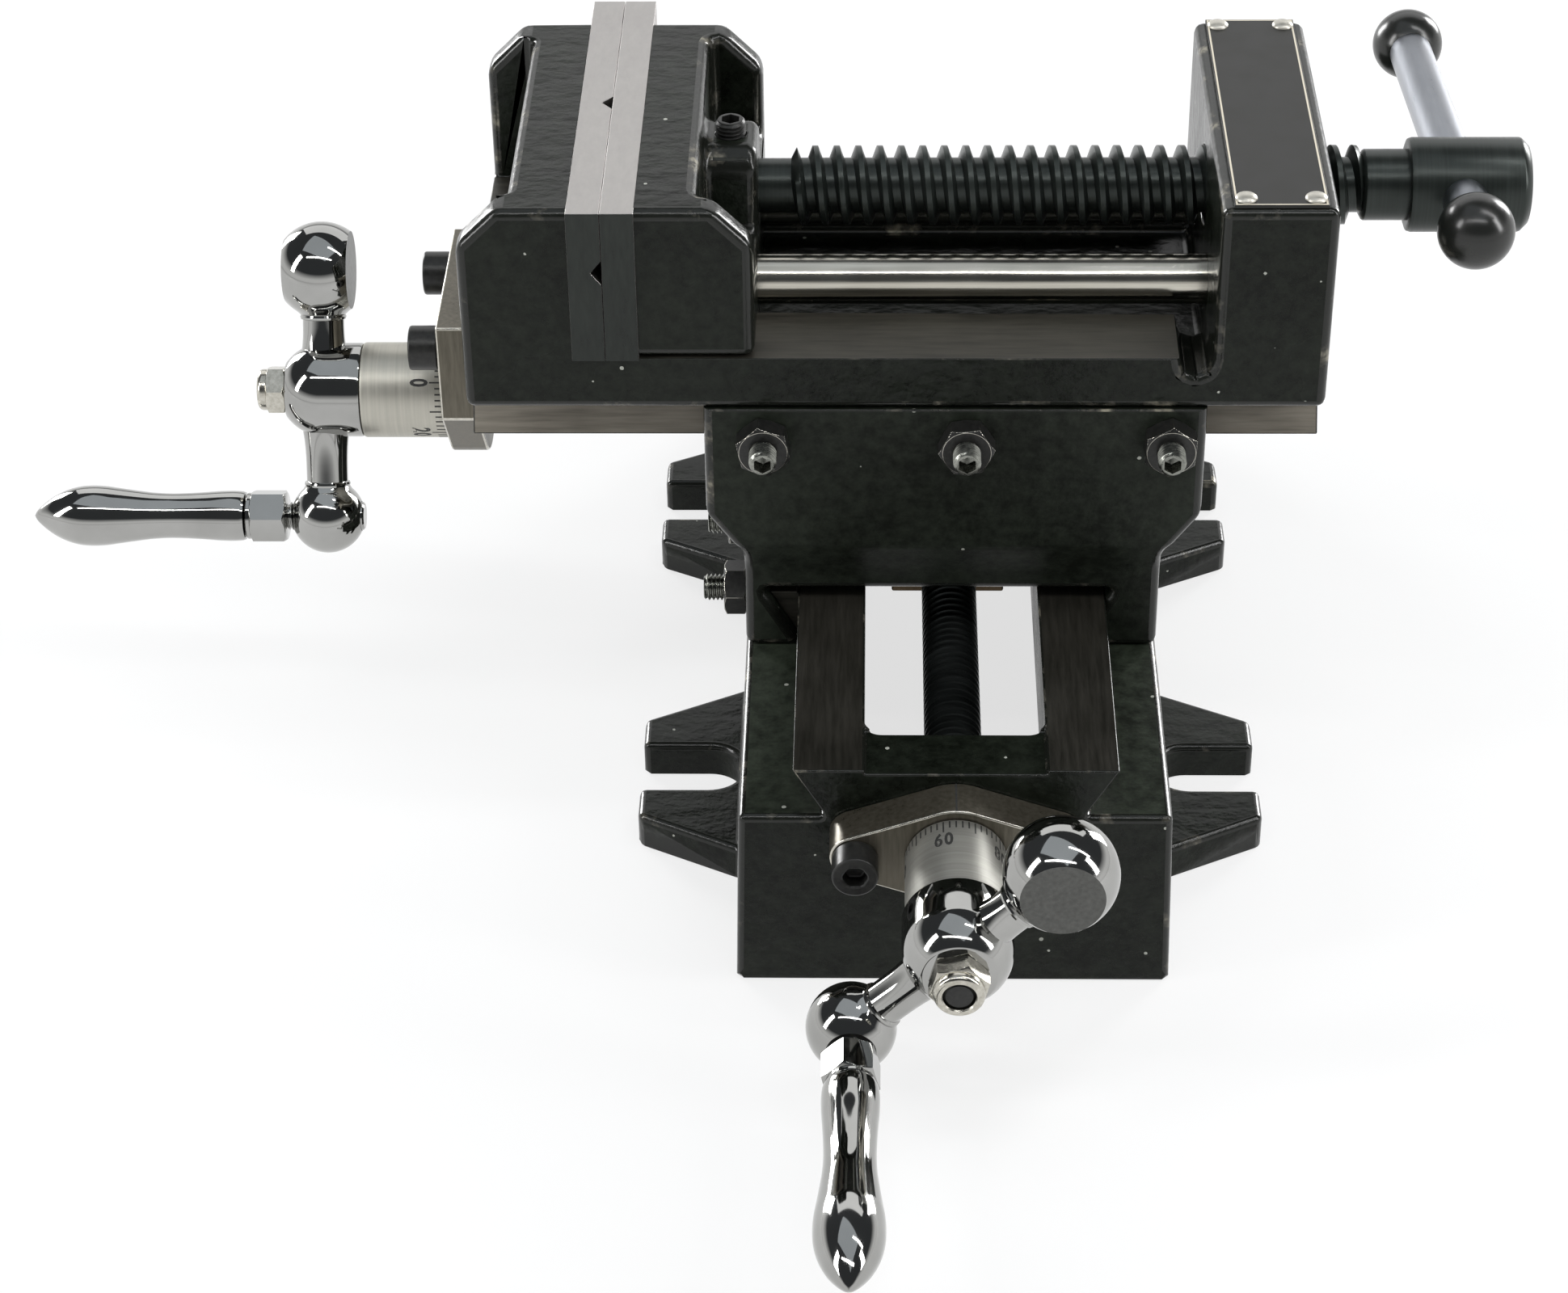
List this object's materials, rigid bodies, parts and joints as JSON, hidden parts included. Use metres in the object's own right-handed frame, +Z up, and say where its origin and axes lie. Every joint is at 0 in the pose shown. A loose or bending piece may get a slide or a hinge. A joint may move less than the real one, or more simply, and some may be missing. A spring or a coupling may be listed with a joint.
{
  "type": "cross slide vise",
  "caption": "Compound cross slide vise: dovetail base, saddle and vise body with screw feeds, ball cranks, dials, plain jaw plates and a sliding bar handle.",
  "frame": {"origin": "middle of the base's footprint on the table", "axes": "+X along the upper slide and the vise towards the vise handle, +Y along the lower slide away from the front crank, +Z up"},
  "size_m": [0.3566, 0.3786, 0.1703],
  "materials": {
    "painted_iron": "gloss black paint over rough casting",
    "machined_steel": "machined, dull",
    "jaw_steel": "ground",
    "bronze": "machined",
    "zinc": "zinc plated",
    "dial_metal": "satin, engraved",
    "ball_plastic": "gloss black",
    "plate_black": "black with a pale border line",
    "rod_steel": "ground bright",
    "screw_steel": "oil-blackened",
    "chrome": "polished",
    "black_oxide": "black oxide"
  },
  "bodies": {
    "base": {"base_casting": "painted_iron", "y_bracket": "machined_steel", "y_bracket_screws": "black_oxide"},
    "saddle": {"saddle_casting": "painted_iron", "y_gib": "machined_steel", "x_gib": "machined_steel", "x_gib_screws": "black_oxide", "x_gib_nuts": "zinc", "y_gib_screws": "black_oxide", "y_gib_nuts": "zinc", "y_feed_nut": "bronze", "y_nut_screws": "black_oxide", "x_feed_nut": "bronze", "x_nut_screws": "black_oxide"},
    "vise_body": {"body_casting": "painted_iron", "fixed_jaw_plate": "jaw_steel", "fixed_plate_screws": "black_oxide", "x_bracket": "machined_steel", "x_bracket_screws": "black_oxide", "name_plate": "plate_black", "name_plate_rivets": "zinc"},
    "moving_jaw": {"moving_jaw_casting": "painted_iron", "moving_jaw_plate": "jaw_steel", "moving_plate_screws": "black_oxide", "guide_rods": "rod_steel", "screw_retainer": "black_oxide"},
    "vise_screw": {"vise_screw": "screw_steel"},
    "tommy_bar": {"tommy_bar": "rod_steel", "tommy_bar_balls": "ball_plastic"},
    "y_crank": {"y_lead_screw": "screw_steel", "y_dial": "dial_metal", "y_crank_arm": "chrome", "y_lock_nut": "zinc", "y_handle_spindle": "chrome"},
    "y_grip": {"y_handle_grip": "chrome"},
    "x_crank": {"x_lead_screw": "screw_steel", "x_dial": "dial_metal", "x_crank_arm": "chrome", "x_lock_nut": "zinc", "x_handle_spindle": "chrome"},
    "x_grip": {"x_handle_grip": "chrome"}
  },
  "joints": [
    {"name": "y_slide", "type": "slide", "parent": "base", "child": "saddle", "axis": [0, 1, 0], "range_m": [-0.055, 0.085]},
    {"name": "x_slide", "type": "slide", "parent": "saddle", "child": "vise_body", "axis": [1, 0, 0], "range_m": [-0.05, 0.05]},
    {"name": "jaw_slide", "type": "slide", "parent": "vise_body", "child": "moving_jaw", "axis": [1, 0, 0], "range_m": [0, 0.1]},
    {"name": "vise_screw_turn", "type": "hinge", "parent": "moving_jaw", "child": "vise_screw", "pos_m": [0.12, -0.0196, 0.1493], "axis": [1, 0, 0], "range_deg": [-10, 7210]},
    {"name": "bar_slide", "type": "slide", "parent": "vise_screw", "child": "tommy_bar", "axis": [0, 0.9928, -0.1201], "range_m": [-0.0755, 0.0078]},
    {"name": "y_crank_turn", "type": "hinge", "parent": "base", "child": "y_crank", "pos_m": [0, -0.1385, 0.0443], "axis": [0, 1, 0], "range_deg": [-7930, 12250]},
    {"name": "x_crank_turn", "type": "hinge", "parent": "vise_body", "child": "x_crank", "pos_m": [-0.12, -0.0196, 0.0933], "axis": [1, 0, 0], "range_deg": [-7210, 7210]},
    {"name": "y_grip_spin", "type": "hinge", "parent": "y_crank", "child": "y_grip", "pos_m": [-0.02323, -0.22, 0.02171], "axis": [0, 1, 0], "continuous": true},
    {"name": "x_grip_spin", "type": "hinge", "parent": "x_crank", "child": "x_grip", "pos_m": [-0.2, -0.0327, 0.0652], "axis": [1, 0, 0], "continuous": true}
  ],
  "couplings": [
    {"joint": "y_crank_turn", "follows": "y_slide", "rad_per_m": 2513.3},
    {"joint": "x_crank_turn", "follows": "x_slide", "rad_per_m": 2513.3},
    {"joint": "vise_screw_turn", "follows": "jaw_slide", "rad_per_m": 1256.6}
  ]
}
